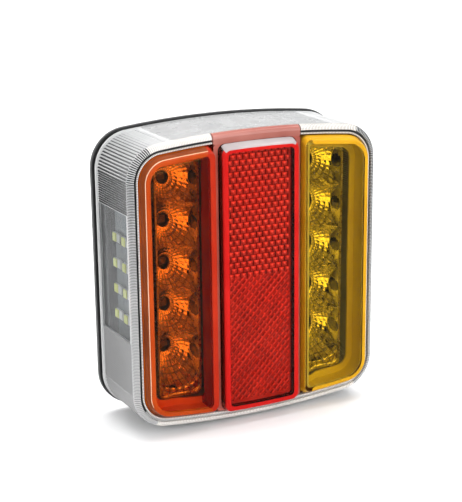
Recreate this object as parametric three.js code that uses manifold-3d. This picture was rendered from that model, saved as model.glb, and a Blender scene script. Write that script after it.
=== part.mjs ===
// Square LED trailer tail light with three lens blocks and a number-plate light in its left wall.
// Inside the lamp group: x to the right, y up, z forward from the back face. Millimetres.
import * as THREE from 'three';
import { mergeVertices } from 'three/addons/utils/BufferGeometryUtils.js';
import Module from 'manifold-3d';

const wasm = await Module();
wasm.setup();

// ---- driving dimensions ----
const WIDTH = 98;
const HEIGHT = 106;
const CORNER_R = 13.8;
const END_ARC_R = 336;
const CURVE_STEPS = 4;
const GAP = 0.3;

const PLATE_T = 2.6;
const HOUSING_EDGE_Z = 2.4;
const HOUSING_RIM_Z = 8;
const RIM_INSET = 3.3;
const RIM_T = 1.6;

const SEAL_T = 0.6;
const SHELL_BACK_Z = HOUSING_EDGE_Z + SEAL_T + 2 * GAP;
const SHELL_FRONT_Z = 32.5;
const SHELL_INSET = 0.6;
const SHELL_DRAFT = 0.45;
const SHELL_WALL = 2.1;
const SHELL_PLATE_T = 2.2;
const FILLET_R = 2.6;
const OPENING_INSET = 4.4;

const LENS_FRONT_Z = 35.5;
const LENS_BACK_Z = 27.6;
const LENS_FLANGE_T = 1.2;
const LENS_FLANGE_INSET = 3.6;
const LENS_WALL = 1.9;
const SIDE_LENS_BASE_INSET = 4.8;
const SIDE_LENS_FRONT_INSET = 6.2;
const SIDE_LENS_INNER_X = 17.1;
const RED_LENS_INSET = 4.75;
const RED_FLANGE_X = 16.8;
const RED_BLOCK_BASE_X = 15.2;
const RED_BLOCK_FRONT_X = 14.7;
const RED_TAB_BACK_Z = 30.6;
const LENS_CORNER_R = 2.5;
const PRISM_BACK_Z = 31.6;
const REFLEX_COVER_Z = [28.4, 29.8];

const BOARD_BACK_Z = 7.9;
const BOARD_T = 1.6;
const BOARD_INSET = 8.5;
const BOARD_FRONT_Z = BOARD_BACK_Z + BOARD_T;
const RESISTOR_X = -6;
const RESISTOR_YS = [18, 10, 2, -6];
const DIODE_SPOT = [7, -6];

const CUP_X = 28.6;
const CUP_TOP_Y = 35.1;
const CUP_PITCH = 15.8;
const CUP_COUNT = 5;
const CUP_FLOOR_Z = 12;
const CUP_FOCUS = 2.16;
const CUP_REACH = 13;
const CUP_HOLE_R = 2.6;
const CUP_PROFILE_RADII = [CUP_HOLE_R, 5, 7.5, 10, CUP_REACH];
const REFLECTOR_BACK_Z = 10.4;
const REFLECTOR_FRONT_Z = 27.3;
const REFLECTOR_INNER_X = 19.7;
const REFLECTOR_OUTER_X = 37.5;
const REFLECTOR_TOP_Y = 42.8;
const REFLECTOR_BOTTOM_Y = -42.2;
const REFLECTOR_WALL = 1.4;
const REFLECTOR_CORNER_R = 3;

const PLATE_BOARD_X = -43.3;
const PLATE_BOARD_T = 1.2;
const PLATE_BOARD_TOP_Y = 28;
const PLATE_BOARD_BOTTOM_Y = -20.5;
const PLATE_BOARD_BACK_Z = 11.8;
const PLATE_BOARD_FRONT_Z = 27.2;
const PLATE_LED_TOP_Y = 15.7;
const PLATE_LED_PITCH = 9.2;
const PLATE_LED_ROWS = 4;
const PLATE_LED_Z = [14.2, 22.2];
const PLATE_LED_HALF_WIDTH = 1.6;
const PLATE_LED_BACK = 1.5;
const PLATE_LED_FRONT = 4.3;
const PLATE_LED_T = 0.9;
const HEADER_HALF_LENGTH = 7;
const HEADER_FRONT_Z = 14.5;
const HEADER_PIN_YS = [-4.5, 0, 4.5];

const STUD_SPACING = 45;
const STUD_R = 2.4;
const STUD_END_Z = -22;
const STUD_HEAD_AF = 8;
const STUD_HEAD_Z = 3.1;
const STUD_HEAD_T = 3.4;
const NUT_BORE_R = 2.75;
const WASHER_FRONT_Z = -3.4;
const WASHER_T = 1;
const SPRING_WASHER_T = 1.2;
const NUT_T = 4;
const WASHER_R = 5;
const SPRING_WASHER_R = 4.4;
const SPRING_WASHER_HALF_SPLIT = 0.14;

const GROMMET_Y = -22;
const GROMMET_HOLE_R = 5.5;
const GROMMET_RECESS_R = 8;
const GROMMET_RECESS_DEPTH = 1.4;

const SCREW_X = 12;
const SCREW_Y = 38;
const SCREW_SHANK_R = 1;
const SCREW_HOLE_R = 1.35;
const SCREW_BOSS_R = 3;
const SCREW_HEAD_R = 2.5;
const STUD_BOSS_R = 7.2;
const STUD_BOSS_Z = 7;

// ---- materials ----
const finish = (color, roughness, metalness = 0) =>
  new THREE.MeshStandardMaterial({ color, roughness, metalness });

const blackPlastic = finish(0x1c1d1f, 0.55);
const rubber = finish(0x151515, 0.85);
const clearPlastic = finish(0xb9bbbb, 0.12);
const orangePlastic = finish(0xd8481a, 0.1);
const redPlastic = finish(0xb9131a, 0.1);
const amberPlastic = finish(0xe0a01c, 0.1);
const chrome = finish(0xd6d8da, 0.08, 1);
const circuitBoard = finish(0x4c585e, 0.5);
const ledBody = finish(0xd9d6c4, 0.4);
const chipBlack = finish(0x17181a, 0.45);
const zincSteel = finish(0xb4b6b4, 0.35, 1);

// ---- geometry helpers ----
function toSolid(geometry) {
  geometry.deleteAttribute('normal');
  geometry.deleteAttribute('uv');
  const merged = mergeVertices(geometry, 1e-4);
  return new wasm.Manifold(new wasm.Mesh({
    numProp: 3,
    vertProperties: new Float32Array(merged.attributes.position.array),
    triVerts: new Uint32Array(merged.index.array),
  }));
}

function toGeometry(solid) {
  const mesh = solid.getMesh();
  const geometry = new THREE.BufferGeometry();
  geometry.setAttribute('position', new THREE.BufferAttribute(mesh.vertProperties, 3));
  geometry.setIndex(new THREE.BufferAttribute(mesh.triVerts, 1));
  geometry.computeVertexNormals();
  return geometry;
}

const join = (...solids) => solids.reduce((sum, solid) => sum.add(solid));
const cut = (body, ...tools) => tools.reduce((rest, tool) => rest.subtract(tool), body);

// A region of the lamp's front view. Its ends lie on the bowed outline, moved in by inset.
function region(left, right, inset, leftR, rightR) {
  const arcY = HEIGHT / 2 - END_ARC_R;
  const arcR = END_ARC_R - inset;
  const corner = (x, r) => new THREE.Vector2(x, arcY + Math.sqrt((arcR - r) ** 2 - x * x));
  const a = corner(left + leftR, leftR);
  const b = corner(right - rightR, rightR);
  const angleA = Math.atan2(a.y - arcY, a.x);
  const angleB = Math.atan2(b.y - arcY, b.x);
  const shape = new THREE.Shape();
  shape.moveTo(right, -b.y);
  shape.lineTo(right, b.y);
  shape.absarc(b.x, b.y, rightR, 0, angleB, false);
  shape.absarc(0, arcY, arcR, angleB, angleA, false);
  shape.absarc(a.x, a.y, leftR, angleA, Math.PI, false);
  shape.lineTo(left, -a.y);
  shape.absarc(a.x, -a.y, leftR, Math.PI, 2 * Math.PI - angleA, false);
  shape.absarc(0, -arcY, arcR, -angleA, -angleB, false);
  shape.absarc(b.x, -b.y, rightR, -angleB, 0, false);
  return shape;
}

// The whole outline of the lamp, moved in by inset.
const outline = (inset) =>
  region(-WIDTH / 2 + inset, WIDTH / 2 - inset, inset, CORNER_R - inset, CORNER_R - inset);

function loopOf(shape) {
  const points = shape.getPoints(CURVE_STEPS);
  return points.filter((point, i) => {
    const next = points[(i + 1) % points.length];
    return point.distanceTo(next) > 1e-5;
  });
}

// A closed solid through a stack of outlines, given as [z, shape] pairs from back to front.
function loft(...levels) {
  const loops = levels.map(([, shape]) => loopOf(shape));
  const count = loops[0].length;
  const positions = [];
  loops.forEach((loop, k) => loop.forEach((p) => positions.push(p.x, p.y, levels[k][0])));
  const indices = [];
  for (let k = 0; k < loops.length - 1; k++) {
    for (let i = 0; i < count; i++) {
      const j = (i + 1) % count;
      const low = k * count;
      const high = low + count;
      indices.push(low + i, low + j, high + j);
      indices.push(low + i, high + j, high + i);
    }
  }
  const last = (loops.length - 1) * count;
  for (const [p, q, r] of THREE.ShapeUtils.triangulateShape(loops[0], [])) {
    indices.push(r, q, p);
  }
  for (const [p, q, r] of THREE.ShapeUtils.triangulateShape(loops.at(-1), [])) {
    indices.push(last + p, last + q, last + r);
  }
  const geometry = new THREE.BufferGeometry();
  geometry.setAttribute('position', new THREE.Float32BufferAttribute(positions, 3));
  geometry.setIndex(indices);
  return toSolid(geometry);
}

const slab = (shape, z0, z1) => loft([z0, shape], [z1, shape]);

function box(x0, x1, y0, y1, z0, z1) {
  const geometry = new THREE.BoxGeometry(x1 - x0, y1 - y0, z1 - z0);
  geometry.translate((x0 + x1) / 2, (y0 + y1) / 2, (z0 + z1) / 2);
  return toSolid(geometry);
}

// A round solid about an axis along z, from an [r, z] profile that starts and ends on the axis.
function turned(profile, x = 0, y = 0, sides = 16) {
  const points = profile.map(([r, z]) => new THREE.Vector2(r, z));
  const geometry = new THREE.LatheGeometry(points, sides);
  geometry.rotateX(Math.PI / 2);
  geometry.translate(x, y, 0);
  return toSolid(geometry);
}

const disc = (r, z0, z1, x, y, sides = 16) =>
  turned([[0, z0], [r, z0], [r, z1], [0, z1]], x, y, sides);

function hexPrism(acrossFlats, z0, z1, x, y) {
  return disc(acrossFlats / Math.sqrt(3), z0, z1, x, y, 6);
}

// ---- rear housing, seal and cable inlet ----
const studXs = [-STUD_SPACING / 2, STUD_SPACING / 2];
const screwSpots = [-1, 1].flatMap((sx) => [-1, 1].map((sy) => [sx * SCREW_X, sy * SCREW_Y]));

function rearHousing() {
  const tray = join(
    slab(outline(0), 0, HOUSING_EDGE_Z),
    slab(outline(RIM_INSET), 0, HOUSING_RIM_Z),
  );
  const pocket = slab(outline(RIM_INSET + RIM_T), PLATE_T, HOUSING_RIM_Z + 1);
  const studBosses = studXs.map((x) => disc(STUD_BOSS_R, 1, STUD_BOSS_Z, x, 0));
  const screwBosses = screwSpots.map(([x, y]) => disc(SCREW_BOSS_R, 1, BOARD_BACK_Z - GAP, x, y));
  const studHoles = studXs.flatMap((x) => [
    disc(STUD_R + 0.4, -1, 9, x, 0),
    hexPrism(STUD_HEAD_AF + 2 * GAP, STUD_HEAD_Z - GAP, 9, x, 0),
  ]);
  const pilotHoles = screwSpots.map(([x, y]) => disc(SCREW_HOLE_R, PLATE_T, 9, x, y, 12));
  return cut(
    join(cut(tray, pocket), ...studBosses, ...screwBosses),
    ...studHoles,
    ...pilotHoles,
    disc(GROMMET_HOLE_R, -1, 5, 0, GROMMET_Y, 24),
    disc(GROMMET_RECESS_R, -1, GROMMET_RECESS_DEPTH, 0, GROMMET_Y, 24),
  );
}

function shellSeal() {
  const z0 = HOUSING_EDGE_Z + GAP;
  return cut(
    slab(outline(SHELL_INSET + 0.3), z0, z0 + SEAL_T),
    slab(outline(RIM_INSET - GAP), z0 - 1, z0 + SEAL_T + 1),
  );
}

// A blind rubber grommet, pierced only when a cable is led through it.
function cableGrommet() {
  const neckR = GROMMET_HOLE_R - GAP;
  const innerZ = PLATE_T + GAP;
  return turned([
    [0, 1.2], [2.6, 1.2], [3.2, 0.2], [7.6, 0.2], [7.6, GROMMET_RECESS_DEPTH - GAP],
    [neckR, GROMMET_RECESS_DEPTH - GAP], [neckR, innerZ], [7, innerZ], [6.6, innerZ + 1.5],
    [3.6, innerZ + 1.5], [3, 2.2], [0, 2.2],
  ], 0, GROMMET_Y, 20);
}

// ---- clear shell ----
function shellOuter() {
  const sideInset = SHELL_INSET + SHELL_DRAFT;
  const filletZ = SHELL_FRONT_Z - FILLET_R;
  const filletLevels = [30, 60, 90].map((degrees) => {
    const angle = THREE.MathUtils.degToRad(degrees);
    const inset = sideInset + FILLET_R * (1 - Math.cos(angle));
    return [filletZ + FILLET_R * Math.sin(angle), outline(inset)];
  });
  return loft([SHELL_BACK_Z, outline(SHELL_INSET)], [filletZ, outline(sideInset)], ...filletLevels);
}

function lensShell() {
  const plateBackZ = SHELL_FRONT_Z - SHELL_PLATE_T;
  const cavity = loft(
    [SHELL_BACK_Z - 1, outline(SHELL_INSET + SHELL_WALL)],
    [plateBackZ - 1, outline(SHELL_INSET + SHELL_DRAFT + SHELL_WALL)],
    [plateBackZ, outline(SHELL_INSET + SHELL_DRAFT + SHELL_WALL + 0.8)],
  );
  const opening = slab(outline(OPENING_INSET), plateBackZ - 2, SHELL_FRONT_Z + 1);
  const notchX = RED_FLANGE_X + GAP;
  const tabNotch = box(-notchX, notchX, 40, 60, RED_TAB_BACK_Z - GAP, SHELL_FRONT_Z + 1);
  return cut(shellOuter(), cavity, opening, tabNotch);
}

// ---- coloured lens blocks ----
// side is -1 for the block at the left and 1 for the block at the right.
function sideRegion(side, inset, innerX, innerR) {
  const outerX = WIDTH / 2 - inset;
  const outerR = CORNER_R - inset;
  return side < 0
    ? region(-outerX, -innerX, inset, outerR, innerR)
    : region(innerX, outerX, inset, innerR, outerR);
}

function sideLens(side) {
  const base = sideRegion(side, SIDE_LENS_BASE_INSET, SIDE_LENS_INNER_X, LENS_CORNER_R);
  const edgeInset = SIDE_LENS_FRONT_INSET - 0.4;
  const edge = sideRegion(side, edgeInset, SIDE_LENS_INNER_X + 0.1, LENS_CORNER_R);
  const front = sideRegion(side, SIDE_LENS_FRONT_INSET, SIDE_LENS_INNER_X + 0.5, LENS_CORNER_R);
  const block = loft(
    [LENS_BACK_Z, base],
    [SHELL_FRONT_Z, base],
    [LENS_FRONT_Z - 0.4, edge],
    [LENS_FRONT_Z, front],
  );
  const flangeShape = sideRegion(side, LENS_FLANGE_INSET, SIDE_LENS_INNER_X, 1);
  const flange = slab(flangeShape, LENS_BACK_Z, LENS_BACK_Z + LENS_FLANGE_T);
  const hollowInset = SIDE_LENS_FRONT_INSET + LENS_WALL - 1;
  const hollowShape = sideRegion(side, hollowInset, SIDE_LENS_INNER_X + LENS_WALL, 1.5);
  const hollow = slab(hollowShape, LENS_BACK_Z - 1, LENS_FRONT_Z - LENS_WALL);
  return cut(join(block, flange), hollow);
}

const redRegion = (x, inset, r = LENS_CORNER_R) => region(-x, x, inset, r, r);

// The red lens carries a flange to both sides and a tab that wraps over the shell's upper edge.
function redLens() {
  const flange = slab(redRegion(RED_FLANGE_X, RED_LENS_INSET, 1), LENS_BACK_Z, SHELL_FRONT_Z);
  const block = loft(
    [SHELL_FRONT_Z - 1, redRegion(RED_BLOCK_BASE_X, RED_LENS_INSET)],
    [LENS_FRONT_Z - 0.4, redRegion(RED_BLOCK_FRONT_X, RED_LENS_INSET + 0.05)],
    [LENS_FRONT_Z, redRegion(RED_BLOCK_FRONT_X - 0.4, RED_LENS_INSET + 0.4)],
  );
  const tabSpace = box(-RED_FLANGE_X, RED_FLANGE_X, 44, 60, RED_TAB_BACK_Z, SHELL_FRONT_Z + 1);
  const tab = shellOuter().intersect(tabSpace);
  const hollowShape = redRegion(RED_BLOCK_FRONT_X - LENS_WALL, RED_LENS_INSET + LENS_WALL, 1.5);
  const hollow = slab(hollowShape, LENS_BACK_Z - 1, LENS_FRONT_Z - LENS_WALL);
  return cut(join(flange, block, tab), hollow);
}

// The two plates that fill the red lens: the prisms in front and the cover that seals them.
function reflexPlate(backZ, frontZ) {
  const x = RED_BLOCK_FRONT_X - LENS_WALL - GAP;
  return slab(redRegion(x, RED_LENS_INSET + LENS_WALL + GAP, 1.2), backZ, frontZ);
}

// ---- reflectors ----
const cupHeights = Array.from({ length: CUP_COUNT }, (_, i) => CUP_TOP_Y - i * CUP_PITCH);

// A paraboloid cup, grown outwards by a wall when the back of the reflector is made.
function cup(x, y, wall) {
  const depthAt = (r) => CUP_FLOOR_Z - wall + (r * r) / (4 * CUP_FOCUS);
  const bowl = CUP_PROFILE_RADII.map((r) => [r + wall * 0.8, depthAt(r)]);
  const topZ = depthAt(CUP_REACH) + 1;
  return turned([[0, depthAt(0)], ...bowl, [CUP_REACH + wall * 0.8, topZ], [0, topZ]], x, y, 16);
}

function roundedBox(x0, x1, y0, y1, r) {
  const shape = new THREE.Shape();
  shape.moveTo(x1, y0 + r);
  shape.lineTo(x1, y1 - r);
  shape.absarc(x1 - r, y1 - r, r, 0, Math.PI / 2, false);
  shape.lineTo(x0 + r, y1);
  shape.absarc(x0 + r, y1 - r, r, Math.PI / 2, Math.PI, false);
  shape.lineTo(x0, y0 + r);
  shape.absarc(x0 + r, y0 + r, r, Math.PI, 1.5 * Math.PI, false);
  shape.lineTo(x1 - r, y0);
  shape.absarc(x1 - r, y0 + r, r, 1.5 * Math.PI, 2 * Math.PI, false);
  return shape;
}

function reflector(side) {
  const x0 = Math.min(side * REFLECTOR_INNER_X, side * REFLECTOR_OUTER_X);
  const x1 = Math.max(side * REFLECTOR_INNER_X, side * REFLECTOR_OUTER_X);
  const inner = (wall) => roundedBox(
    x0 + wall, x1 - wall, REFLECTOR_BOTTOM_Y + wall, REFLECTOR_TOP_Y - wall, REFLECTOR_CORNER_R - wall,
  );
  const block = slab(inner(0), REFLECTOR_BACK_Z, REFLECTOR_FRONT_Z);
  const cups = cupHeights.map((y) => cup(side * CUP_X, y, 0));
  const bowls = cupHeights.map((y) => cup(side * CUP_X, y, REFLECTOR_WALL));
  const holes = cupHeights.map((y) => disc(CUP_HOLE_R, 0, CUP_FLOOR_Z + 3, side * CUP_X, y, 12));
  const backHollow = cut(
    slab(inner(REFLECTOR_WALL), REFLECTOR_BACK_Z - 1, REFLECTOR_FRONT_Z - REFLECTOR_WALL),
    ...bowls,
  );
  return cut(block, backHollow, ...cups, ...holes);
}

// ---- circuit boards and what they carry ----
function signalBoard() {
  const edge = WIDTH / 2 - BOARD_INSET;
  const sheet = slab(region(-edge, edge, BOARD_INSET, 5, 5), BOARD_BACK_Z, BOARD_FRONT_Z);
  const holes = screwSpots.map(([x, y]) => disc(SCREW_SHANK_R + 0.4, 0, 12, x, y, 12));
  return cut(sheet, ...holes);
}

function signalLed(side, y) {
  const x = side * CUP_X;
  const z = BOARD_FRONT_Z + GAP;
  const body = box(x - 1.75, x + 1.75, y - 1.4, y + 1.4, z, z + 1.1);
  const dome = turned([[0, z], [1.2, z], [1.2, z + 1.2], [0.8, z + 1.7], [0, z + 1.9]], x, y, 8);
  return join(body, dome);
}

function plateBoard() {
  return box(
    PLATE_BOARD_X - PLATE_BOARD_T / 2, PLATE_BOARD_X + PLATE_BOARD_T / 2,
    PLATE_BOARD_BOTTOM_Y, PLATE_BOARD_TOP_Y,
    PLATE_BOARD_BACK_Z, PLATE_BOARD_FRONT_Z,
  );
}

// A flat package with a raised emitting window on the half that is nearer the back.
function plateLed(row, column) {
  const y = PLATE_LED_TOP_Y - row * PLATE_LED_PITCH;
  const z = PLATE_LED_Z[column];
  const seat = PLATE_BOARD_X - PLATE_BOARD_T / 2 - GAP;
  const outer = seat - PLATE_LED_T;
  const half = PLATE_LED_HALF_WIDTH;
  const body = box(outer, seat, y - half, y + half, z - PLATE_LED_BACK, z + PLATE_LED_FRONT);
  const window = box(outer - 0.4, outer + 0.4, y - half + 0.1, y + half - 0.1, z - 1.4, z + 1.4);
  return join(body, window);
}

// The moulded strip of pins that joins the upright board to the main one.
function boardHeader() {
  const x = PLATE_BOARD_X + PLATE_BOARD_T / 2 + GAP;
  const z = BOARD_FRONT_Z + GAP;
  const strip = box(x, x + 1.5, -HEADER_HALF_LENGTH, HEADER_HALF_LENGTH, z, HEADER_FRONT_Z);
  const feet = HEADER_PIN_YS.map((y) => box(x + 1.2, x + 3.4, y - 0.4, y + 0.4, z, z + 0.8));
  return join(strip, ...feet);
}

function boardScrew(x, y) {
  const seat = BOARD_FRONT_Z + GAP;
  const head = turned([
    [0, 4], [SCREW_SHANK_R, 4.6], [SCREW_SHANK_R, seat], [SCREW_HEAD_R, seat],
    [SCREW_HEAD_R - 0.1, seat + 1], [1.6, seat + 1.7], [0, seat + 1.9],
  ], x, y, 12);
  const slotA = box(x - 1.3, x + 1.3, y - 0.25, y + 0.25, seat + 1, seat + 3);
  const slotB = box(x - 0.25, x + 0.25, y - 1.3, y + 1.3, seat + 1, seat + 3);
  return cut(head, slotA, slotB);
}

function resistor(x, y) {
  const z = BOARD_FRONT_Z + GAP;
  return join(
    box(x - 2.6, x + 2.6, y - 1.6, y + 1.6, z, z + 0.6),
    box(x - 3.2, x - 2.4, y - 1.5, y + 1.5, z, z + 0.7),
    box(x + 2.4, x + 3.2, y - 1.5, y + 1.5, z, z + 0.7),
  );
}

function diode(x, y) {
  const z = BOARD_FRONT_Z + GAP;
  return join(
    box(x - 2.3, x + 2.3, y - 1.8, y + 1.8, z + 0.2, z + 2.3),
    box(x - 2.9, x - 2.1, y - 1, y + 1, z, z + 1.2),
    box(x + 2.1, x + 2.9, y - 1, y + 1, z, z + 1.2),
  );
}

// ---- mounting studs, washers and nuts ----
function stud(x) {
  const head = hexPrism(STUD_HEAD_AF, STUD_HEAD_Z, STUD_HEAD_Z + STUD_HEAD_T, x, 0);
  const shank = turned([
    [0, STUD_END_Z], [STUD_R - 0.6, STUD_END_Z], [STUD_R, STUD_END_Z + 0.8],
    [STUD_R, STUD_HEAD_Z + 1], [0, STUD_HEAD_Z + 1],
  ], x, 0);
  return join(head, shank);
}

function washer(x) {
  const back = WASHER_FRONT_Z - WASHER_T;
  return cut(
    disc(WASHER_R, back, WASHER_FRONT_Z, x, 0, 24),
    disc(NUT_BORE_R, back - 1, WASHER_FRONT_Z + 1, x, 0, 24),
  );
}

// A split spring washer, shown flat.
function springWasher(x) {
  const front = WASHER_FRONT_Z - WASHER_T - GAP;
  const halfSplit = SPRING_WASHER_HALF_SPLIT;
  const shape = new THREE.Shape();
  shape.absarc(0, 0, SPRING_WASHER_R, halfSplit, 2 * Math.PI - halfSplit, false);
  shape.absarc(0, 0, NUT_BORE_R, 2 * Math.PI - halfSplit, halfSplit, true);
  const options = { depth: SPRING_WASHER_T, bevelEnabled: false, curveSegments: 12 };
  const geometry = new THREE.ExtrudeGeometry(shape, options);
  geometry.translate(x, 0, front - SPRING_WASHER_T);
  return toSolid(geometry);
}

function nut(x) {
  const front = WASHER_FRONT_Z - WASHER_T - SPRING_WASHER_T - 2 * GAP;
  const back = front - NUT_T;
  const flats = hexPrism(STUD_HEAD_AF, back, front, x, 0);
  const rounding = turned([
    [0, back], [3.9, back], [4.7, back + 0.5], [4.7, front - 0.5], [3.9, front], [0, front],
  ], x, 0, 24);
  return cut(flats.intersect(rounding), disc(NUT_BORE_R, back - 1, front + 1, x, 0, 20));
}

// ---- assembly ----
const lamp = new THREE.Group();
lamp.rotation.x = Math.PI / 2;

function place(name, solid, material) {
  const mesh = new THREE.Mesh(toGeometry(solid), material);
  mesh.name = name;
  lamp.add(mesh);
}

place('rear_housing', rearHousing(), blackPlastic);
place('shell_seal', shellSeal(), rubber);
place('cable_grommet', cableGrommet(), rubber);
place('lens_shell', lensShell(), clearPlastic);
place('orange_lens', sideLens(-1), orangePlastic);
place('red_lens', redLens(), redPlastic);
place('amber_lens', sideLens(1), amberPlastic);
place('reflex_prism_plate', reflexPlate(PRISM_BACK_Z, LENS_FRONT_Z - LENS_WALL - GAP), redPlastic);
place('reflex_cover', reflexPlate(...REFLEX_COVER_Z), ledBody);
place('orange_reflector', reflector(-1), chrome);
place('amber_reflector', reflector(1), chrome);
place('signal_board', signalBoard(), circuitBoard);
cupHeights.forEach((y, i) => {
  place(`orange_led_${i + 1}`, signalLed(-1, y), ledBody);
  place(`amber_led_${i + 1}`, signalLed(1, y), ledBody);
});
place('plate_board', plateBoard(), circuitBoard);
for (let row = 0; row < PLATE_LED_ROWS; row++) {
  for (let column = 0; column < PLATE_LED_Z.length; column++) {
    const number = row * PLATE_LED_Z.length + column + 1;
    place(`plate_led_${number}`, plateLed(row, column), ledBody);
  }
}
place('board_header', boardHeader(), chipBlack);
screwSpots.forEach(([x, y], i) => place(`board_screw_${i + 1}`, boardScrew(x, y), zincSteel));
RESISTOR_YS.forEach((y, i) => place(`resistor_${i + 1}`, resistor(RESISTOR_X, y), chipBlack));
place('diode', diode(...DIODE_SPOT), chipBlack);
[['left', studXs[0]], ['right', studXs[1]]].forEach(([side, x]) => {
  place(`${side}_stud`, stud(x), zincSteel);
  place(`${side}_washer`, washer(x), zincSteel);
  place(`${side}_spring_washer`, springWasher(x), zincSteel);
  place(`${side}_nut`, nut(x), zincSteel);
});

export default lamp;
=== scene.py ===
"""The looks of a square LED trailer tail light, built around its CAD frame.

Shapes are worked out in lamp millimetres: x to the right, y up, z forward from the back face.
"""

import math

import bmesh
import bpy
import numpy as np
from mathutils import Matrix, Vector


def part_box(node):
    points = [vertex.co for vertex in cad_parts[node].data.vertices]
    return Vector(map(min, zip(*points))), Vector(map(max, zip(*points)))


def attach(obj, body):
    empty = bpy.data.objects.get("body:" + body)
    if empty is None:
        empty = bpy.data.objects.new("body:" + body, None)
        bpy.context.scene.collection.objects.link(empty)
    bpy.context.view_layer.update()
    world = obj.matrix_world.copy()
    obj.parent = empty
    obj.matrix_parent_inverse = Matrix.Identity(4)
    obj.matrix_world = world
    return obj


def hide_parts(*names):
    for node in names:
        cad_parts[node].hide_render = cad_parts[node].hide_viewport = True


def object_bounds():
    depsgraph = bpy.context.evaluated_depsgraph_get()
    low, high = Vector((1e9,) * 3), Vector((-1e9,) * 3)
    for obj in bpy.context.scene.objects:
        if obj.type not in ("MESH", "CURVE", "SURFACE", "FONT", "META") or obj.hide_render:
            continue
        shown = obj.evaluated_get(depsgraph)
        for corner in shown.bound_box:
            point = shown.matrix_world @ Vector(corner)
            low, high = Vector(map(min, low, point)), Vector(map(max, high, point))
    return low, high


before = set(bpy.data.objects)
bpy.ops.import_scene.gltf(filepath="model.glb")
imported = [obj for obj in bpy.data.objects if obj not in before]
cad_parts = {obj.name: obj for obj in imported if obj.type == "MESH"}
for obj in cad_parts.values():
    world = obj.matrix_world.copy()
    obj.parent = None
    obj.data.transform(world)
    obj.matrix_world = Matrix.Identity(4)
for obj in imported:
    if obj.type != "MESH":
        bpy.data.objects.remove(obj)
cad_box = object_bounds()

MM = 0.001


def span(node):
    """A CAD node's extent in lamp millimetres: (x0, x1), (y0, y1), (z0, z1)."""
    low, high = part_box(node)
    return (low.x / MM, high.x / MM), (low.z / MM, high.z / MM), (-high.y / MM, -low.y / MM)


# ---- driving dimensions ----
(LEFT, RIGHT), (BOTTOM, TOP), (_, HOUSING_RIM_Z) = span("rear_housing")
WIDTH = RIGHT - LEFT
HEIGHT = TOP - BOTTOM
CORNER_R = 13.8
END_ARC_R = 336
GAP = 0.3

PLATE_T = 2.6
RIM_INSET = 3.3
RIM_T = 1.6

SEAL_T = 0.6
SHELL_BACK_Z, SHELL_FRONT_Z = span("lens_shell")[2]
HOUSING_EDGE_Z = SHELL_BACK_Z - SEAL_T - 2 * GAP
SHELL_INSET = 0.6
SHELL_DRAFT = 0.45
SHELL_WALL = 2.1
SHELL_PLATE_T = 2.2
SHELL_FILLET_R = 1.95
OPENING_INSET = 4.4
PANE_TOP = 26.5
PANE_BOTTOM = -18.5
PANE_FRONT_Z = 29.4
# the ribs fade in across the upper and lower walls between these distances from the middle
RIBS_FROM_X = 31
RIBS_FULL_X = 37
# how far in the side walls reach, without and with their corners
SIDE_ZONE = 4
CORNER_ZONE = 9

LENS_BACK_Z, LENS_FRONT_Z = span("orange_lens")[2]
LENS_FLANGE_T = 1.2
LENS_FLANGE_INSET = 3.6
LENS_WALL = 1.9
LENS_EDGE_R = 0.7
LEDGE_W = 2.4
LEDGE_T = 0.7
SIDE_LENS_BASE_INSET = 4.8
SIDE_LENS_FRONT_INSET = 6.0
SIDE_LENS_INNER_X = 17.1
LENS_CORNER_R = 2.5
RED_LENS_INSET = 4.75
RED_FLANGE_X = 16.8
RED_BLOCK_BASE_X = 15.2
RED_BLOCK_FRONT_X = 14.7
RED_TAB_BACK_Z = 30.6
RED_HEAD_BEVEL = 1.2
RED_HEAD_ZONE = 9

CUP_X = 28.6
CUP_TOP_Y = 35.1
CUP_PITCH = 15.8
CUP_COUNT = 5
CUP_FLOOR_Z = 12
CUP_FOCUS = 2.16
CUP_HOLE_R = 2.6
CUP_SHEET_T = 1.2
# where the painted reflections of the LED holes sit on the reflector side walls, and their size
IMAGE_RISE = 0.4
IMAGE_HALF_H = 2.6
IMAGE_HALF_D = 3.6
IMAGE_Z = 24.0
REFLECTOR_WALL = 0.9
REFLECTOR_CORNER_R = 3

STUD_R = 2.4
THREAD_PITCH = 0.8
THREAD_DEPTH = 0.42
HEX_AF = 8
NUT_BORE_R = 2.75
HEX_POINTS = 96
SPRING_WASHER_R = 4.4
STUD_HEAD_T = 3.4
PLATE_LED_COUNT = 8

PHOTO_AZIMUTH = -27.31
PHOTO_ELEVATION = 16.05
PHOTO_ROLL = -0.63
CAMERA_DISTANCE = 0.5
CAMERA_LENS = 99.55
CAMERA_SHIFT = (-0.0112, 0.0252)
CAMERA_AIM_Y = -16


# ---- outlines and rings ----
def smoothstep(low, high, value):
    t = np.clip((value - low) / (high - low), 0, 1)
    return t * t * (3 - 2 * t)


def triangle_wave(phase):
    """0 at whole numbers and 1 halfway between them."""
    return 1 - np.abs(2 * (phase % 1.0) - 1)


def arc(cx, cy, r, start, end, count):
    """Points on an arc, without its last one."""
    t = np.linspace(start, end, count, endpoint=False)
    return np.stack([cx + r * np.cos(t), cy + r * np.sin(t)], 1)


def run(x0, y0, x1, y1, count):
    """Points on a straight run, without its last one."""
    t = np.linspace(0, 1, count, endpoint=False)[:, None]
    return np.array([[x0, y0]]) * (1 - t) + np.array([[x1, y1]]) * t


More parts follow.
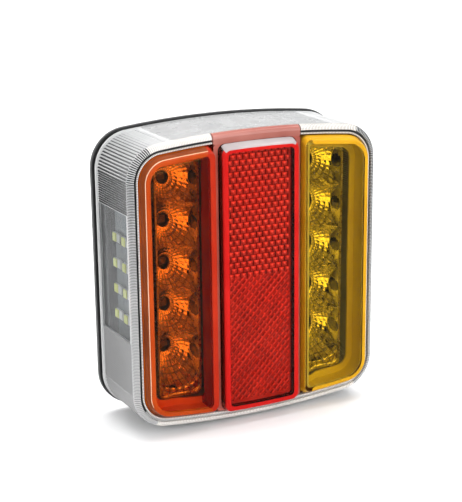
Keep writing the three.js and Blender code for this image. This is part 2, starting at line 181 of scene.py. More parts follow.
def region(left, right, inset, left_r, right_r, edge=4, corner=10, end=12):
    """A part of the lamp's front view whose ends lie on the bowed outline, moved in by inset."""
    arc_y = HEIGHT / 2 - END_ARC_R
    arc_r = END_ARC_R - inset
    ax, bx = left + left_r, right - right_r
    ay = arc_y + math.sqrt((arc_r - left_r) ** 2 - ax**2)
    by = arc_y + math.sqrt((arc_r - right_r) ** 2 - bx**2)
    angle_a = math.atan2(ay - arc_y, ax)
    angle_b = math.atan2(by - arc_y, bx)
    return np.concatenate([
        run(right, -by, right, by, edge),
        arc(bx, by, right_r, 0, angle_b, corner),
        arc(0, arc_y, arc_r, angle_b, angle_a, end),
        arc(ax, ay, left_r, angle_a, math.pi, corner),
        run(left, ay, left, -ay, edge),
        arc(ax, -ay, left_r, math.pi, 2 * math.pi - angle_a, corner),
        arc(0, -arc_y, arc_r, -angle_a, -angle_b, end),
        arc(bx, -by, right_r, -angle_b, 0, corner),
    ])


def outline(inset, **steps):
    """The whole outline of the lamp, moved in by inset."""
    r = CORNER_R - inset
    return region(-WIDTH / 2 + inset, WIDTH / 2 - inset, inset, r, r, **steps)


def side_region(side, inset, inner_x, inner_r, **steps):
    """The outline of a side block; side is -1 for the left block and 1 for the right one."""
    outer_x, outer_r = WIDTH / 2 - inset, CORNER_R - inset
    if side < 0:
        return region(-outer_x, -inner_x, inset, outer_r, inner_r, **steps)
    return region(inner_x, outer_x, inset, inner_r, outer_r, **steps)


def red_region(x, inset, r=LENS_CORNER_R, **steps):
    return region(-x, x, inset, r, r, **steps)


def rounded_rect(x0, x1, y0, y1, r, corner=8, side=2):
    return np.concatenate([
        run(x1, y0 + r, x1, y1 - r, side),
        arc(x1 - r, y1 - r, r, 0, math.pi / 2, corner),
        run(x1 - r, y1, x0 + r, y1, side),
        arc(x0 + r, y1 - r, r, math.pi / 2, math.pi, corner),
        run(x0, y1 - r, x0, y0 + r, side),
        arc(x0 + r, y0 + r, r, math.pi, 1.5 * math.pi, corner),
        run(x0 + r, y0, x1 - r, y0, side),
        arc(x1 - r, y0 + r, r, 1.5 * math.pi, 2 * math.pi, corner),
    ])


def circle(r, x=0, y=0, count=48):
    return arc(x, y, r, 0, 2 * math.pi, count)


def ring(points, z):
    """A loop of points at one height, or at a height of their own each."""
    heights = np.broadcast_to(np.asarray(z, float), (len(points),))
    return np.column_stack([points, heights])


def skin(rings, wrap=False):
    """Vertices and faces of a stack of equal rings, capped at both ends or closed on itself."""
    count = len(rings[0])
    rows = np.arange(len(rings) * count).reshape(len(rings), count)
    upper = np.roll(rows, -1, 0) if wrap else rows[1:]
    lower = rows if wrap else rows[:-1]
    quads = np.stack([lower, np.roll(lower, -1, 1), np.roll(upper, -1, 1), upper], 2)
    faces = quads.reshape(-1, 4).tolist()
    if not wrap:
        faces += [rows[0][::-1].tolist(), rows[-1].tolist()]
    return np.concatenate(rings), faces


def turned(profile, x=0, y=0, count=48):
    """A round solid about an axis along z, from (r, z) points off the axis."""
    return skin([ring(circle(r, x, y, count), z) for r, z in profile])


def block(x0, x1, y0, y1, z0, z1, bevel=0.12):
    """A box with bevelled edges."""
    inner = rounded_rect(x0 + bevel, x1 - bevel, y0 + bevel, y1 - bevel, bevel, 3)
    outer = rounded_rect(x0, x1, y0, y1, 2 * bevel, 3)
    return skin([ring(inner, z0), ring(outer, z0 + bevel), ring(outer, z1 - bevel), ring(inner, z1)])


# ---- making objects ----
def numbered(solid, number):
    return (*solid[:2], [number] * len(solid[1]))


def mesh_of(name, solids, sharp_degrees=35):
    """A mesh from (vertices, faces) or (vertices, faces, material numbers) in lamp millimetres."""
    verts, faces, numbers = [], [], []
    offset = 0
    for solid in solids:
        points, polygons = solid[:2]
        verts.append(np.stack([points[:, 0], -points[:, 2], points[:, 1]], 1) * MM)
        faces += [[i + offset for i in polygon] for polygon in polygons]
        numbers += list(solid[2]) if len(solid) > 2 else [0] * len(polygons)
        offset += len(points)
    mesh = bpy.data.meshes.new(name)
    mesh.from_pydata(np.concatenate(verts).tolist(), [], faces)
    mesh.polygons.foreach_set("material_index", numbers)
    work = bmesh.new()
    work.from_mesh(mesh)
    bmesh.ops.remove_doubles(work, verts=work.verts, dist=0.004 * MM)
    bmesh.ops.dissolve_degenerate(work, edges=work.edges, dist=0.002 * MM)
    bmesh.ops.recalc_face_normals(work, faces=work.faces)
    work.to_mesh(mesh)
    work.free()
    shade(mesh, sharp_degrees)
    return mesh


def shade(mesh, sharp_degrees):
    mesh.polygons.foreach_set("use_smooth", [True] * len(mesh.polygons))
    mesh.set_sharp_from_angle(angle=math.radians(sharp_degrees))


def piece(name, solids, materials, body="lamp", replaces=None, sharp_degrees=35):
    """One visible piece of the lamp, in place of the CAD nodes that it stands for."""
    obj = bpy.data.objects.new(name + "_look", mesh_of(name, solids, sharp_degrees))
    bpy.context.scene.collection.objects.link(obj)
    for material in materials:
        obj.data.materials.append(material)
    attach(obj, body)
    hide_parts(*(replaces or [name]))
    return obj


def carve(obj, operation, tools, sharp_degrees=35):
    """Joins closed shapes to an object, or cuts them out of it."""
    for i, tool in enumerate(tools):
        cutter = bpy.data.objects.new(f"tool_{i}", mesh_of(f"tool_{i}", [tool]))
        bpy.context.scene.collection.objects.link(cutter)
        modifier = obj.modifiers.new("carve", "BOOLEAN")
        modifier.operation = operation
        modifier.solver = "EXACT"
        modifier.object = cutter
        bpy.context.view_layer.update()
        evaluated = obj.evaluated_get(bpy.context.evaluated_depsgraph_get())
        result = bpy.data.meshes.new_from_object(evaluated)
        obj.modifiers.clear()
        obj.data = result
        bpy.data.objects.remove(cutter)
    shade(obj.data, sharp_degrees)


# ---- materials ----
class Finish:
    """A procedural material, built around one Principled BSDF in object coordinates."""

    def __init__(self, name, **values):
        self.material = bpy.data.materials.new(name)
        self.material.use_nodes = True
        self.tree = self.material.node_tree
        self.shader = self.tree.nodes["Principled BSDF"]
        self.coords = self.tree.nodes.new("ShaderNodeTexCoord").outputs["Object"]
        for key, value in values.items():
            self.shader.inputs[key.replace("_", " ")].default_value = value

    def node(self, kind, **inputs):
        made = self.tree.nodes.new(kind)
        for key, value in inputs.items():
            socket = made.inputs[key.replace("_", " ")]
            if isinstance(value, bpy.types.NodeSocket):
                self.tree.links.new(value, socket)
            else:
                socket.default_value = value
        return made

    def noise(self, size_mm, detail=3):
        """Noise with features about size_mm wide."""
        scale = 1 / (size_mm * MM)
        made = self.node("ShaderNodeTexNoise", Vector=self.coords, Scale=scale, Detail=detail)
        return made.outputs["Fac"]

    def spread(self, factor, low, high, start=0.3, stop=0.7):
        """A number that runs from low to high with the factor."""
        made = self.node("ShaderNodeMapRange", Value=factor)
        for key, value in (("From Min", start), ("From Max", stop), ("To Min", low), ("To Max", high)):
            made.inputs[key].default_value = value
        return made.outputs[0]

    def colours(self, factor, first, second, start=0.35, stop=0.65):
        """A colour that runs from first to second with the factor."""
        made = self.node("ShaderNodeValToRGB", Fac=factor)
        first_stop, second_stop = made.color_ramp.elements
        first_stop.position, first_stop.color = start, (*first, 1)
        second_stop.position, second_stop.color = stop, (*second, 1)
        return made.outputs["Color"]

    def use(self, **sockets):
        for key, source in sockets.items():
            self.tree.links.new(source, self.shader.inputs[key.replace("_", " ")])
        return self

    def bump(self, height, depth_mm):
        made = self.node("ShaderNodeBump", Height=height, Distance=depth_mm * MM, Strength=1.0)
        self.tree.links.new(made.outputs[0], self.shader.inputs["Normal"])
        return self


def moulded_plastic(name, dark, light, roughness, grain_mm, depth_mm):
    finish = Finish(name, IOR=1.5)
    broad = finish.noise(9, 4)
    finish.use(
        Base_Color=finish.colours(broad, dark, light),
        Roughness=finish.spread(finish.noise(2.5, 4), roughness - 0.08, roughness + 0.08),
    )
    return finish.bump(finish.noise(grain_mm, 2), depth_mm).material


def clear_plastic(name, tint, shade_tint, transmission, roughness, ior=1.45, gloss=0.5):
    """Polycarbonate; below full transmission the rest of the light is scattered by the plastic."""
    finish = Finish(name, IOR=ior, Transmission_Weight=transmission, Specular_IOR_Level=gloss)
    finish.use(
        Base_Color=finish.colours(finish.noise(14, 2), tint, shade_tint),
        Roughness=finish.spread(finish.noise(5, 3), roughness * 0.6, roughness * 1.5),
    )
    return finish.material


def rib_shade_plastic(name, low_tint, high_tint):
    """Painted shade on one flank of each of the shell's ribs, darker towards the top of the lamp."""
    finish = Finish(name, IOR=1.35, Transmission_Weight=0.2, Specular_IOR_Level=0.3)
    height = finish.node("ShaderNodeSeparateXYZ", Vector=finish.coords).outputs["Z"]
    grade = finish.spread(height, 0, 1, PANE_BOTTOM * MM, PANE_TOP * MM)
    finish.use(
        Base_Color=finish.colours(grade, low_tint, high_tint, 0.0, 1.0),
        Roughness=finish.spread(finish.noise(5, 3), 0.08, 0.16),
    )
    return finish.material


def chrome_finish(name, dark, light, roughness, grain_mm):
    """Vacuum-metallised plastic with a fine hammered grain."""
    finish = Finish(name, Metallic=1.0)
    finish.use(
        Base_Color=finish.colours(finish.noise(2.5, 3), dark, light),
        Roughness=finish.spread(finish.noise(1.2, 3), roughness * 0.7, roughness * 1.3),
    )
    return finish.bump(finish.noise(grain_mm, 1), 0.02).material


def prism_finish(name, dark, light):
    finish = Finish(name, Metallic=0.25, IOR=1.58)
    finish.use(
        Base_Color=finish.colours(finish.noise(5, 3), dark, light),
        Roughness=finish.spread(finish.noise(0.8, 3), 0.1, 0.2),
    )
    return finish.material


def steel_finish():
    finish = Finish("zinc_steel", Metallic=1.0)
    broad = finish.noise(1.4, 5)
    finish.use(
        Base_Color=finish.colours(broad, (0.5, 0.51, 0.5), (0.72, 0.72, 0.68)),
        Roughness=finish.spread(finish.noise(0.7, 4), 0.22, 0.42),
    )
    return finish.bump(finish.noise(0.3, 3), 0.008).material


def board_finish():
    finish = Finish("board_mask", IOR=1.5, Coat_Weight=0.3)
    weave = finish.node("ShaderNodeTexWave", Vector=finish.coords, Scale=900.0, Distortion=1.5)
    finish.use(
        Base_Color=finish.colours(finish.noise(3, 4), (0.035, 0.045, 0.05), (0.06, 0.072, 0.078)),
        Roughness=finish.spread(finish.noise(1.1, 3), 0.32, 0.5),
    )
    return finish.bump(weave.outputs["Fac"], 0.012).material


def glow_finish():
    """The cured phosphor gel of a white LED."""
    finish = Finish("led_phosphor", IOR=1.42)
    finish.use(
        Base_Color=finish.colours(finish.noise(0.5, 3), (0.75, 0.76, 0.1), (0.86, 0.86, 0.24)),
        Roughness=finish.spread(finish.noise(0.4, 2), 0.3, 0.5),
    )
    return finish.bump(finish.noise(0.12, 2), 0.01).material


HOUSING_BLACK = moulded_plastic(
    "housing_black", (0.01, 0.0105, 0.011), (0.02, 0.02, 0.021), 0.46, 0.35, 0.02
)
RUBBER = moulded_plastic("rubber_black", (0.012, 0.012, 0.012), (0.024, 0.024, 0.023), 0.78, 0.2, 0.03)
CHIP_BLACK = moulded_plastic(
    "component_black", (0.012, 0.012, 0.013), (0.03, 0.03, 0.031), 0.5, 0.25, 0.01
)
LED_GREY = moulded_plastic("signal_led", (0.14, 0.13, 0.12), (0.24, 0.22, 0.2), 0.42, 0.3, 0.006)
LED_WHITE = moulded_plastic("led_package", (0.52, 0.5, 0.45), (0.68, 0.66, 0.6), 0.42, 0.3, 0.006)
COVER_WHITE = moulded_plastic("cover_white", (0.55, 0.54, 0.5), (0.66, 0.65, 0.62), 0.4, 0.6, 0.008)
# painted shade: opaque black in the clear shell's groove on the sides and top, standing for the dark line
# seen there
GROOVE_PAINTED_SHADE = moulded_plastic(
    "groove_painted_shade", (0.008, 0.009, 0.009), (0.02, 0.021, 0.022), 0.35, 0.3, 0.01
)
SHELL_CLEAR = clear_plastic("shell_clear", (0.72, 0.75, 0.76), (0.8, 0.83, 0.84), 1.0, 0.02, 1.18, 0.2)
SHELL_RIBBED = clear_plastic(
    "shell_ribbed", (0.56, 0.57, 0.57), (0.64, 0.64, 0.64), 0.25, 0.15, 1.35, 0.4
)
# painted shade: a darker copy of the shell plastic for the plain top, toning down how brightly the
# overhead light falls on it
SHELL_TOP_SHADED = clear_plastic("shell_top_painted_shade", (0.36, 0.365, 0.365), (0.4, 0.4, 0.4), 0.25, 0.3, 1.35, 0.3)
# painted highlight: near-white, nearly opaque plastic on the lip round the opening and on the upper and
# lower fillets; on the lower fillet it is also painted light where little light reaches
SHELL_LIP_HIGHLIGHT = clear_plastic("shell_lip_painted_highlight", (0.84, 0.82, 0.78), (0.92, 0.9, 0.86), 0.05, 0.05)
# painted shade: a darker, less see-through plastic on one half of each flute along the lip and fillets
SHELL_FLUTE_SHADE = clear_plastic("shell_flute_painted_shade", (0.42, 0.39, 0.36), (0.53, 0.49, 0.45), 0.2, 0.08)
# painted shade for the rib flanks, from lighter low down to near black at the top
SHELL_RIB_SHADE = rib_shade_plastic("shell_rib_painted_shade", (0.3, 0.3, 0.3), (0.012, 0.013, 0.014))
# painted reflection: a grey, part-clear finish on the red lens's bevelled top edge, standing for the grey
# overhead mirrored there
RED_HEAD_REFLECTION = clear_plastic("red_head_painted_reflection", (0.5, 0.45, 0.45), (0.58, 0.53, 0.53), 0.3, 0.1)
RED_FLANGE = clear_plastic("red_flange", (0.5, 0.12, 0.09), (0.6, 0.17, 0.13), 0.3, 0.1)
TAB_RED = clear_plastic("tab_red", (0.44, 0.14, 0.11), (0.54, 0.2, 0.16), 0.25, 0.08)
# painted highlight: a pale line on the rounded outer front edge of the orange lens
LENS_EDGE_HIGHLIGHT = clear_plastic("lens_edge_painted_highlight", (0.85, 0.5, 0.3), (0.92, 0.62, 0.42), 0.2, 0.05)
ORANGE = clear_plastic("orange_window", (0.94, 0.36, 0.07), (0.97, 0.4, 0.09), 1.0, 0.01, 1.3, 0.2)
ORANGE_BODY = clear_plastic("orange_body", (0.8, 0.14, 0.012), (0.88, 0.17, 0.015), 0.2, 0.03, 1.3, 0.2)
ORANGE_RIM = clear_plastic("orange_rim", (0.46, 0.055, 0.007), (0.54, 0.075, 0.011), 0.2, 0.05, 1.3, 0.2)
# painted light: a brighter copy of the orange plastic for the walls of the lens's hollow, standing for
# light let in through the lens
ORANGE_INNER_LIT = clear_plastic("orange_inner_painted_light", (0.96, 0.36, 0.09), (1.0, 0.42, 0.12), 0.1, 0.05, 1.3, 0.3)
# painted shade: a dark brown copy of the orange plastic on the lens block's outer side wall
ORANGE_WALL_SHADED = clear_plastic("orange_wall_painted_shade", (0.24, 0.05, 0.012), (0.34, 0.07, 0.016), 0.3, 0.03, 1.3, 0.3)
# painted shade: a darker red copy of the orange plastic along the orange lens's inner side, next to the
# red lens
ORANGE_PAINTED_SHADE = clear_plastic("orange_inner_side_painted_shade", (0.6, 0.03, 0.01), (0.72, 0.045, 0.014), 0.4, 0.03, 1.3, 0.2)
AMBER = clear_plastic("amber_window", (0.95, 0.7, 0.12), (0.97, 0.74, 0.14), 1.0, 0.01, 1.3, 0.2)
# painted light: a brighter copy of the amber plastic for the walls of the lens's hollow, standing for
# light let in through the lens
AMBER_INNER_LIT = clear_plastic("amber_inner_painted_light", (0.98, 0.9, 0.42), (1.0, 0.95, 0.5), 0.1, 0.05, 1.3, 0.3)
AMBER_BODY = clear_plastic("amber_body", (0.42, 0.2, 0.02), (0.5, 0.26, 0.03), 0.2, 0.03, 1.3, 0.2)
AMBER_RIM = clear_plastic("amber_rim", (0.68, 0.34, 0.012), (0.76, 0.4, 0.016), 0.2, 0.05, 1.3, 0.2)
RED = clear_plastic("red_window", (0.93, 0.2, 0.14), (0.95, 0.23, 0.16), 1.0, 0.01, 1.3, 0.2)
RED_RIM = clear_plastic("red_rim", (0.62, 0.012, 0.01), (0.7, 0.018, 0.014), 0.25, 0.03, 1.3, 0.2)
DOME = clear_plastic("led_dome", (0.6, 0.6, 0.58), (0.7, 0.7, 0.68), 0.85, 0.06)
CHROME = chrome_finish("reflector_chrome", (0.84, 0.84, 0.85), (0.96, 0.96, 0.97), 0.08, 0.6)
# painted shade: dimmer chrome for the facet seams, for every other facet below the LED and for the back
# of each cup
CHROME_PAINTED_SHADE = chrome_finish("reflector_facet_painted_shade", (0.68, 0.68, 0.68), (0.84, 0.84, 0.84), 0.1, 0.8)
# painted shade: darker chrome for the facet seams below the LED
CHROME_SEAM_SHADE = chrome_finish("reflector_seam_painted_shade", (0.36, 0.36, 0.36), (0.48, 0.48, 0.48), 0.2, 0.5)
# painted reflection: near-black chrome for the LED holes mirrored in the side walls
CHROME_HOLE_REFLECTION = chrome_finish("reflector_painted_hole_reflection", (0.06, 0.06, 0.06), (0.16, 0.16, 0.16), 0.15, 0.6)
# rougher chrome for the reflector frames; its dimmer colour is painted shade for the gap beside the cups
CHROME_WALL_SHADED = chrome_finish("reflector_wall_painted_shade", (0.5, 0.5, 0.5), (0.7, 0.7, 0.7), 0.3, 1.0)
PRISM_FACE = prism_finish("prism_face", (0.66, 0.36, 0.3), (0.86, 0.5, 0.42))
# painted highlight: near-white glints on the prisms' crests
PRISM_HIGHLIGHT_PAINT = prism_finish("prism_painted_highlight", (0.95, 0.9, 0.85), (1.0, 0.98, 0.95))
# painted shade: dark red between the prisms and in the hatching
PRISM_PAINTED_SHADE = prism_finish("prism_painted_shade", (0.16, 0.08, 0.07), (0.28, 0.13, 0.11))
STEEL = steel_finish()
BOARD = board_finish()
PHOSPHOR = glow_finish()


# ---- clear shell ----
RIB_STEPS = 6
FLUTE_STEPS = 4
FINE = {"edge": 92 * RIB_STEPS, "corner": 16 * RIB_STEPS, "end": 82 * RIB_STEPS}
RIB_DEPTH = 0.34
WALL_GROOVE = 0.4
FLUTE_DEPTH = 0.09
GROOVE_START = 3.0
GROOVE_END = 3.75
GROOVE_DEPTH = 1.0
# places of the finishes in SHELL_PARTS
ON_PANE, ON_WALL, ON_GROOVE, ON_LIP_HIGHLIGHT, ON_RIB_SHADE, ON_FLUTE_SHADE, ON_TOP_SHADE = range(7)


def shell_profile():
    """(inset, z, part of the wall, outward inset, outward z) round the shell's cross-section."""
    side_inset = SHELL_INSET + SHELL_DRAFT
    plate_back = SHELL_FRONT_Z - SHELL_PLATE_T
    fillet_z = SHELL_FRONT_Z - SHELL_FILLET_R
    rows = [
        (SHELL_INSET + 0.2, SHELL_BACK_Z, "plain"),
        (SHELL_INSET, SHELL_BACK_Z + 0.2, "plain"),
        (SHELL_INSET, SHELL_BACK_Z + 1.0, "plain"),
        (SHELL_INSET + 0.35, SHELL_BACK_Z + 1.3, "plain"),
        (side_inset - 0.1, SHELL_BACK_Z + 1.5, "plain"),
        (side_inset - 0.08, SHELL_BACK_Z + 1.7, "wall"),
        (side_inset, PANE_FRONT_Z, "wall"),
        (side_inset, fillet_z - 0.4, "plain"),
    ]
    for angle in np.radians([0, 15, 30, 45, 60, 75, 88]):
        inset = side_inset + SHELL_FILLET_R * (1 - math.cos(angle))
        rows.append((inset, fillet_z + SHELL_FILLET_R * math.sin(angle), "flute", angle))
    rows += [
        (GROOVE_START + 0.1, SHELL_FRONT_Z - GROOVE_DEPTH, "groove"),
        (GROOVE_END - 0.1, SHELL_FRONT_Z - GROOVE_DEPTH, "groove"),
        (GROOVE_END, SHELL_FRONT_Z - 0.35, "lip"),
        (GROOVE_END + 0.2, SHELL_FRONT_Z, "lip"),
        (OPENING_INSET - 0.2, SHELL_FRONT_Z, "lip"),
        (OPENING_INSET, SHELL_FRONT_Z - 0.3, "plain"),
        (OPENING_INSET, plate_back, "plain"),
        (side_inset + SHELL_WALL + 0.6, plate_back, "plain"),
        (side_inset + SHELL_WALL, plate_back - 0.7, "rib_end"),
        (side_inset + SHELL_WALL, plate_back - 0.9, "rib"),
        (SHELL_INSET + SHELL_WALL + 0.05, SHELL_BACK_Z + 1.4, "rib"),
        (SHELL_INSET + SHELL_WALL, SHELL_BACK_Z, "rib"),
    ]
    return rows


def lens_shell():
    base = outline(2, **FINE)
    step = np.arange(len(base))
    rib_phase = step / RIB_STEPS
    flute_phase = step / FLUTE_STEPS
    x, y = base.T
    on_side = np.abs(x) > WIDTH / 2 - SIDE_ZONE
    on_pane = (x < 0) & on_side & (y > PANE_BOTTOM) & (y < PANE_TOP)
    ribbed = smoothstep(RIBS_FROM_X, RIBS_FULL_X, np.abs(x)) * ~on_pane
    notch = (np.abs(x) < RED_FLANGE_X + GAP) & (y > 0)
    wall_inset = SHELL_INSET + SHELL_DRAFT + SHELL_WALL
    rings = []
    profile = shell_profile()
    for inset, z, part, *angle in profile:
        depth = np.zeros(len(base))
        if part == "rib":
            depth = RIB_DEPTH * triangle_wave(rib_phase) * ribbed
        if part == "wall":
            depth = WALL_GROOVE * triangle_wave(rib_phase) * ribbed
        flute = np.zeros(len(base))
        tilt = math.pi / 2
        if part in ("flute", "lip"):
            flute = FLUTE_DEPTH * triangle_wave(flute_phase)
            tilt = angle[0] if angle else math.pi / 2
        points = outline(inset, **FINE)
        inward = outline(inset + 0.1, **FINE) - points
        inward /= np.linalg.norm(inward, axis=1)[:, None]
        move = depth - flute * math.cos(tilt)
        sunk = FLUTE_DEPTH * (part in ("flute", "lip"))
        heights = np.full(len(base), z) - sunk + flute * math.sin(tilt)
        if inset > wall_inset:
            flat = outline(wall_inset, **FINE)
            points[notch] = flat[notch]
        heights = np.where(notch, np.minimum(heights, RED_TAB_BACK_Z - GAP), heights)
        rings.append(ring(points + inward * move[:, None], heights))
    verts, faces = skin(rings, wrap=True)
    # one flank of each rib, which is painted as shade
    shaded_rib_flank = (rib_phase % 1.0 >= 0.5) & (ribbed > 0.2)
    # the half of each flute that is painted as shade
    shaded_flute_half = flute_phase % 1.0 >= 0.5
    # the lip and fillet flutes alternate between painted highlight and painted shade
    lip_painted_light = np.where(shaded_flute_half, ON_FLUTE_SHADE, ON_LIP_HIGHLIGHT)
    # at the corners every other flute is painted as shade
    corner_painted_shade = np.where(shaded_flute_half, ON_RIB_SHADE, ON_WALL)
    numbers = np.full((len(rings), len(base)), ON_WALL)
    # the plain top of the shell takes the darker painted-shade plastic
    numbers[:, (np.abs(x) < RIBS_FROM_X) & (y > 0)] = ON_TOP_SHADE
    for row, (_, z, part, *_) in enumerate(profile):
        next_z = profile[(row + 1) % len(profile)][1]
        low, high = min(z, next_z), max(z, next_z)
        if low > SHELL_BACK_Z + 1.2 and high < SHELL_FRONT_Z - SHELL_PLATE_T and high - low > 10:
            numbers[row][on_pane] = ON_PANE
        # the wall's ribs get painted shade on one flank
        if part == "wall":
            numbers[row] = np.where(shaded_rib_flank, ON_RIB_SHADE, numbers[row])
        # the fillets away from the corners take the lip's painted highlight and shade
        if part == "flute":
            numbers[row] = np.where(np.abs(x) < WIDTH / 2 - CORNER_ZONE, lip_painted_light, corner_painted_shade)
        if part == "lip":
            numbers[row] = lip_painted_light
        if part == "groove":
            # the groove on the sides and along the top takes the black painted shade
            numbers[row] = np.where(on_side | (y > 0), ON_GROOVE, ON_WALL)
    return verts, faces, numbers.ravel()


SHELL_PARTS = [
    SHELL_CLEAR, SHELL_RIBBED, GROOVE_PAINTED_SHADE, SHELL_LIP_HIGHLIGHT, SHELL_RIB_SHADE, SHELL_FLUTE_SHADE, SHELL_TOP_SHADED,
]
piece("lens_shell", [lens_shell()], SHELL_PARTS)


# ---- coloured lens blocks ----
HOLLOW_R = 1.5
EDGE_BANDS = [18, 36, 54, 72, 90]
# places of the finishes in ORANGE_PARTS and AMBER_PARTS
ON_WINDOW, ON_BODY, ON_RIM, ON_INNER_SIDE, ON_EDGE_HIGHLIGHT, ON_OUTSIDE, ON_HOLLOW = range(7)
# how far above the foot of the lamp the painted highlight line round the outer edge starts
HIGHLIGHT_FROM_FOOT = 12
# places of the finishes in RED_PARTS
RED_WINDOW, RED_HEAD, RED_TAB, RED_EDGE, RED_SIDE = range(5)
# how far the painted reflection on the red lens's top bevel reaches
HEAD_REFLECTION_ZONE = 8
HEAD_REFLECTION_WIDER = 1.8


def edge_rounding(shape, start_inset, front_inset, start_z):
    """Rings up a lens block's drafted wall, round its front edge and onto its face."""
    rings = []
    draft_end = LENS_FRONT_Z - LENS_EDGE_R
    rings.append(ring(shape(start_inset), start_z))
    rings.append(ring(shape(front_inset - 0.2), draft_end))
    for angle in np.radians(EDGE_BANDS):
        inset = front_inset - 0.2 + LENS_EDGE_R * (1 - math.cos(angle))
        rings.append(ring(shape(inset), draft_end + LENS_EDGE_R * math.sin(angle)))
    rings.append(ring(shape(front_inset + LENS_EDGE_R + 0.3), LENS_FRONT_Z))
    return rings


def side_lens(side):
    steps = {"edge": 24, "corner": 20, "end": 24}

    def wall(inset):
        lean = (inset - SIDE_LENS_BASE_INSET) * 0.3
        return side_region(side, inset, SIDE_LENS_INNER_X + lean, LENS_CORNER_R, **steps)

    hollow_inset = SIDE_LENS_FRONT_INSET + LENS_WALL - 1
    hollow_x = SIDE_LENS_INNER_X + LENS_WALL
    hollow = side_region(side, hollow_inset, hollow_x, HOLLOW_R, **steps)
    hollow_face = side_region(side, hollow_inset + 0.6, hollow_x + 0.6, HOLLOW_R, **steps)
    inner_z = LENS_FRONT_Z - LENS_WALL
    ledge = side_region(side, hollow_inset + LEDGE_W, hollow_x + 0.1, HOLLOW_R, **steps)
    flange = side_region(side, LENS_FLANGE_INSET, SIDE_LENS_INNER_X, 1, **steps)
    rings = [
        ring(hollow_face, inner_z), ring(hollow, inner_z - 0.3), ring(hollow, LENS_BACK_Z + LEDGE_T),
        ring(ledge, LENS_BACK_Z + LEDGE_T), ring(ledge, LENS_BACK_Z),
        ring(flange, LENS_BACK_Z), ring(flange, LENS_BACK_Z + LENS_FLANGE_T),
        ring(wall(SIDE_LENS_BASE_INSET), LENS_BACK_Z + LENS_FLANGE_T),
    ]
    outside = len(rings)
    rings += edge_rounding(wall, SIDE_LENS_BASE_INSET, SIDE_LENS_FRONT_INSET, SHELL_FRONT_Z)
    rings.append(ring(hollow_face, LENS_FRONT_Z))
    verts, faces = skin(rings)
    x, y = flange.T
    inner_side = np.abs(x) < SIDE_LENS_INNER_X + 1
    outer_edge = (np.abs(x) > SIDE_LENS_INNER_X + 1) & (y > HIGHLIGHT_FROM_FOOT - HEIGHT / 2)
    rim = outside + 1
    highlight_end = rim + 2
    numbers = np.full((len(rings) - 1, len(flange)), ON_BODY)
    # the hollow's walls and ledge take the brighter painted-light plastic
    numbers[:4] = ON_HOLLOW
    # the outer side wall takes the darker painted-shade plastic
    numbers[outside] = ON_OUTSIDE
    numbers[rim:] = ON_RIM
    # the orange lens's rounded outer edge carries a painted highlight; the amber lens has its rim plastic
    # there
    numbers[rim:highlight_end, outer_edge] = ON_EDGE_HIGHLIGHT
    if side < 0:
        # the orange lens's inner side is painted darker as shade
        numbers[:, inner_side] = ON_INNER_SIDE
    else:
        numbers[highlight_end:, inner_side] = ON_WINDOW
    return verts, faces, numbers.ravel().tolist() + [ON_WINDOW, ON_WINDOW]


def red_lens():
    steps = {"edge": 24, "corner": 12, "end": 24}

    def wall(inset):
        x = RED_BLOCK_BASE_X - (inset - RED_LENS_INSET) - 0.3
        return red_region(x, inset, **steps)

    hollow = red_region(RED_BLOCK_FRONT_X - LENS_WALL, RED_LENS_INSET + LENS_WALL, HOLLOW_R, **steps)
    inner_z = LENS_FRONT_Z - LENS_WALL
    flange = red_region(RED_FLANGE_X, RED_LENS_INSET, 1, **steps)
    base = red_region(RED_BLOCK_BASE_X, RED_LENS_INSET + 0.05, **steps)
    rings = [
        ring(hollow, inner_z), ring(hollow, LENS_BACK_Z), ring(flange, LENS_BACK_Z),
        ring(flange, SHELL_FRONT_Z), ring(base, SHELL_FRONT_Z),
    ]
    rings += edge_rounding(wall, RED_LENS_INSET + 0.1, RED_LENS_INSET + 0.3, SHELL_FRONT_Z + 0.3)
    rings.append(ring(hollow, LENS_FRONT_Z))
    first_edge = 6
    for points in rings[first_edge:]:
        head = smoothstep(SHELL_FRONT_Z + 0.6, LENS_FRONT_Z, points[:, 2]) * (points[:, 1] > 0)
        points[:, 1] -= RED_HEAD_BEVEL * head * (np.abs(points[:, 1]) > HEIGHT / 2 - RED_HEAD_ZONE)
    verts, faces = skin(rings)
    x, y = flange.T
    head_face = (y > HEIGHT / 2 - HEAD_REFLECTION_ZONE) & (np.abs(x) < RED_BLOCK_FRONT_X + HEAD_REFLECTION_WIDER)
    numbers = np.full((len(rings) - 1, len(flange)), RED_WINDOW)
    numbers[3] = RED_SIDE
    numbers[first_edge:] = RED_EDGE
    # the top bevel takes the grey painted reflection
    numbers[first_edge - 1:-2, head_face] = RED_HEAD
    return verts, faces, numbers.ravel().tolist() + [RED_WINDOW, RED_WINDOW]


def red_tab():
    """The tab of the red lens that wraps over the shell's upper edge."""
    side_inset = SHELL_INSET + SHELL_DRAFT
    fillet_z = SHELL_FRONT_Z - SHELL_FILLET_R
    first = math.asin((RED_TAB_BACK_Z - fillet_z) / SHELL_FILLET_R)
    section = []
    for angle in np.linspace(first, math.pi / 2, 9):
        inset = side_inset + SHELL_FILLET_R * (1 - math.cos(angle))
        section.append((inset, fillet_z + SHELL_FILLET_R * math.sin(angle)))
    section += [(RED_LENS_INSET, SHELL_FRONT_Z), (RED_LENS_INSET, RED_TAB_BACK_Z)]
    arc_y = HEIGHT / 2 - END_ARC_R
    rings = []
    for x in np.linspace(RED_FLANGE_X, -RED_FLANGE_X, 41):
        rings.append(np.array([
            (x, arc_y + math.sqrt((END_ARC_R - inset) ** 2 - x**2), z) for inset, z in section
        ]))
    return skin(rings)


